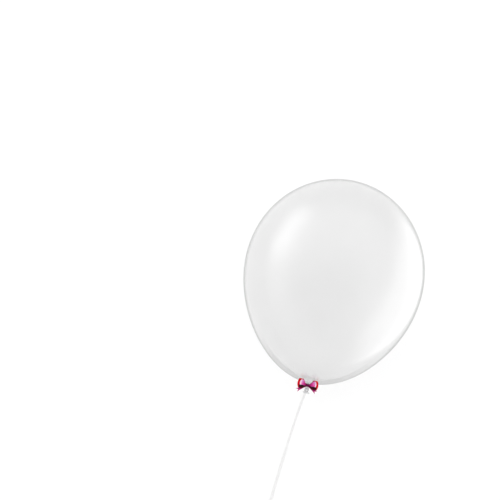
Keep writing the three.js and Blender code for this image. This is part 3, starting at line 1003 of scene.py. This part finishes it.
def waist_band():
    """A band with lengthwise creases, pulled tight round the bow's waist."""
    low = WAIST_BOTTOM - TIE_GAP
    high = magenta_leaf(0.0, 1) + RIBBON_ROOM + TIE_GAP
    half_height = (high - low + TIE_THICKNESS) / 2
    half_width = WAIST_HALF_WIDTH + TIE_GAP + TIE_THICKNESS / 2
    turn = np.linspace(0, 2 * np.pi, BAND_ROWS, endpoint=False)[:, None]
    share = np.linspace(-1, 1, BAND_COLUMNS)[None, :]
    crease = BAND_CREASE * np.cos(WAIST_CREASES * np.pi * share)
    y = (half_width + crease) * np.sign(np.cos(turn)) * np.abs(np.cos(turn)) ** BAND_SQUARENESS
    z = (half_height + crease) * np.sign(np.sin(turn)) * np.abs(np.sin(turn)) ** BAND_SQUARENESS
    grid = np.stack([TIE_WIDTH / 2 * share + 0 * turn, y, z + (low + high) / 2], axis=2)
    return bow_to_world(grid), np.ones((BAND_ROWS, BAND_COLUMNS)), share + 0 * turn


def tail(side, full_length):
    """One tail of the tie, forked at its end."""
    length = np.linspace(0, 1, TAIL_ROWS)[:, None]
    share = np.linspace(-1, 1, BAND_COLUMNS)[None, :]
    out = length * (full_length - TAIL_FORK * (1 - np.abs(share)))
    y = mix(TAIL_START_HALF_WIDTH, TAIL_END_HALF_WIDTH, length ** 2) * share
    wave = TAIL_WAVE * np.sin(TAIL_WAVES * np.pi * length) * length
    z = TAIL_HEIGHT + wave - TAIL_DROOP * length ** 2 + TAIL_CURL * share * share * length
    heading = -TAIL_SLOPE if side > 0 else math.pi + TAIL_SLOPE
    turn = np.array(Matrix.Rotation(heading, 3, "Z"))
    return bow_to_world(np.stack([out, y, z], axis=2) @ turn.T), 0 * length + 0 * share, share + 0 * length


round_neck = neck_band(BOW_AT, NECK_BAND_WIDTH, NECK_BAND_RADIUS, BAND_CREASE, NECK_CREASES)
bands = [(waist_band(), True), (round_neck, True)]
tails = [(tail(1, RIGHT_TAIL_LENGTH), False), (tail(-1, LEFT_TAIL_LENGTH), False)]
tie_ribbon = ribbon_piece("bow_tie_satin", bands + tails, TIE_THICKNESS, TIE_SATIN)
finish_piece(tie_ribbon, "tie_satin", "bow_tie_ribbon")

# Stage: a white floor, even white light all round, and softboxes that fade at shares of their width
FLOOR_HALF_SIDE = 30.0
FLOOR_DROP = 0.5 * MM
FLOOR_GREY = 0.93
WORLD_STRENGTH = 1.1
SOFTBOX_SIDE = 0.5
SOFTBOX_FULL = 0.12

floor_corners = [(x * FLOOR_HALF_SIDE, y * FLOOR_HALF_SIDE, 0)
                 for x, y in ((-1, -1), (1, -1), (1, 1), (-1, 1))]
floor = mesh_piece("floor", floor_corners, [(0, 1, 2, 3)])
floor.location.z = -FLOOR_DROP
floor_material, _, floor_shader = new_material("floor_paper")
set_inputs(floor_shader, Base_Color=grey(FLOOR_GREY), Roughness=0.9, Specular_IOR_Level=0.1)
floor.data.materials.append(floor_material)

world = bpy.data.worlds.new("studio")
bpy.context.scene.world = world
world.use_nodes = True
set_inputs(world.node_tree.nodes["Background"], Color=grey(1.0), Strength=WORLD_STRENGTH)


def soft_light(name, place, aim, width, height, radiance, full_from, full_to, in_gloss):
    """A softbox that shows in gloss, or else lights plain surfaces. It is full between two shares of its
    height, and fades smoothly towards its edges."""
    data = bpy.data.lights.new(name, "AREA")
    data.shape = "RECTANGLE"
    data.size = width
    data.size_y = height
    data.energy = radiance * width * height * math.pi
    data.use_nodes = True
    tree = data.node_tree
    spot = add_node(tree, "ShaderNodeNewGeometry").outputs["Parametric"]
    parts = add_node(tree, "ShaderNodeSeparateXYZ", {0: spot})
    from_middle = calc(tree, "ABSOLUTE", calc(tree, "SUBTRACT", parts.outputs["X"], 0.5))
    sides = ramp(tree, from_middle, SOFTBOX_SIDE, SOFTBOX_FULL)
    first_rows = ramp(tree, parts.outputs["Y"], 0.0, full_from)
    last_rows = ramp(tree, parts.outputs["Y"], 1.0, full_to)
    rows = calc(tree, "MULTIPLY", first_rows, last_rows)
    tree.links.new(calc(tree, "MULTIPLY", sides, rows), tree.nodes["Emission"].inputs["Strength"])
    lamp = bpy.data.objects.new(name, data)
    lamp.location = place
    lamp.rotation_euler = (Vector(aim) - Vector(place)).to_track_quat("-Z", "Y").to_euler()
    lamp.visible_camera = False
    lamp.visible_transmission = False
    lamp.visible_glossy = in_gloss
    lamp.visible_diffuse = not in_gloss
    bpy.context.scene.collection.objects.link(lamp)


soft_light("top_softbox", place=(-0.9, -0.4, 3.2), aim=(0, -0.3, 0), width=3.0, height=3.0,
           radiance=0.8, full_from=0.4, full_to=0.6, in_gloss=False)
soft_light("right_softbox", place=(1.22, 0.04, 0.75), aim=(0, 0.04, 1.36), width=3.8, height=1.68,
           radiance=1.8, full_from=0.04, full_to=0.45, in_gloss=True)
soft_light("left_softbox", place=(-1.85, 0.95, 1.1), aim=(0, 0.1, 1.0), width=2.8, height=1.8,
           radiance=1.8, full_from=0.45, full_to=0.5, in_gloss=True)
bpy.context.scene.view_settings.view_transform = "Standard"
